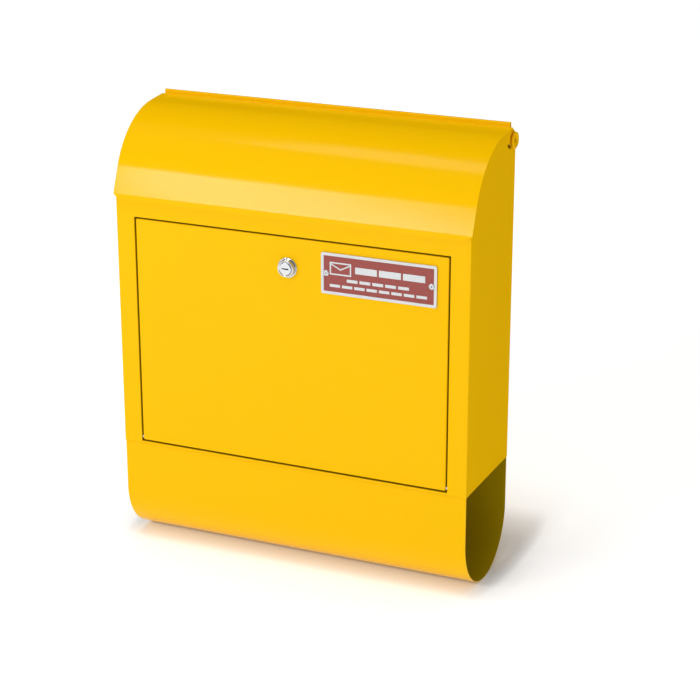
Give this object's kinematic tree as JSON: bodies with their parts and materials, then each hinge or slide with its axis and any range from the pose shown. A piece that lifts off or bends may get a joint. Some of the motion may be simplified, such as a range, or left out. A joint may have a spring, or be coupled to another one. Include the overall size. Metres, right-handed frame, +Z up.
{
  "type": "wall mailbox",
  "caption": "Wall-mounted sheet-steel mailbox with a curved lifting lid, a locked drop-down front door and an open-ended newspaper trough below.",
  "frame": {"origin": "middle of the four wall holes, on the back face that lies on the wall", "axes": "+X to the right as seen from the front, +Y into the wall, +Z up"},
  "size_m": [0.377, 0.1208, 0.45],
  "materials": {
    "yellow_paint": "semi-gloss mustard yellow powder coat with a fine texture",
    "chrome": "polished chrome plate",
    "nameplate_metal": "satin pressed aluminium",
    "red_enamel": "matt red-brown enamel",
    "zinc_steel": "dull zinc plate"
  },
  "bodies": {
    "body": {"back_panel": "yellow_paint", "side_panel_left": "yellow_paint", "side_panel_right": "yellow_paint", "front_frame": "yellow_paint", "floor_panel": "yellow_paint", "newspaper_trough": "yellow_paint", "trough_rivets": "zinc_steel", "hinge_rod": "zinc_steel", "hinge_bush_left": "yellow_paint", "hinge_bush_right": "yellow_paint", "bush_clips": "zinc_steel", "door_hinge_pins": "zinc_steel"},
    "lid": {"lid_shell": "yellow_paint", "lid_ear_left": "yellow_paint", "lid_ear_right": "yellow_paint"},
    "door": {"door_panel": "yellow_paint", "nameplate": "nameplate_metal", "nameplate_field": "red_enamel", "nameplate_emblem": "nameplate_metal", "nameplate_rivets": "nameplate_metal", "lock_housing": "chrome", "lock_ring": "chrome", "lock_nut": "zinc_steel"},
    "lock": {"lock_plug": "chrome", "lock_cam": "zinc_steel", "cam_screw": "zinc_steel"}
  },
  "joints": [
    {"name": "lid_hinge", "type": "hinge", "parent": "body", "child": "lid", "pos_m": [0, -0.008, 0.1475], "axis": [-1, 0, 0], "range_deg": [0, 30]},
    {"name": "door_hinge", "type": "hinge", "parent": "body", "child": "door", "pos_m": [0, -0.1125, -0.1707], "axis": [1, 0, 0], "range_deg": [0, 110]},
    {"name": "lock_turn", "type": "hinge", "parent": "door", "child": "lock", "pos_m": [0, -0.115, 0.0292], "axis": [0, 1, 0], "range_deg": [0, 90]}
  ]
}
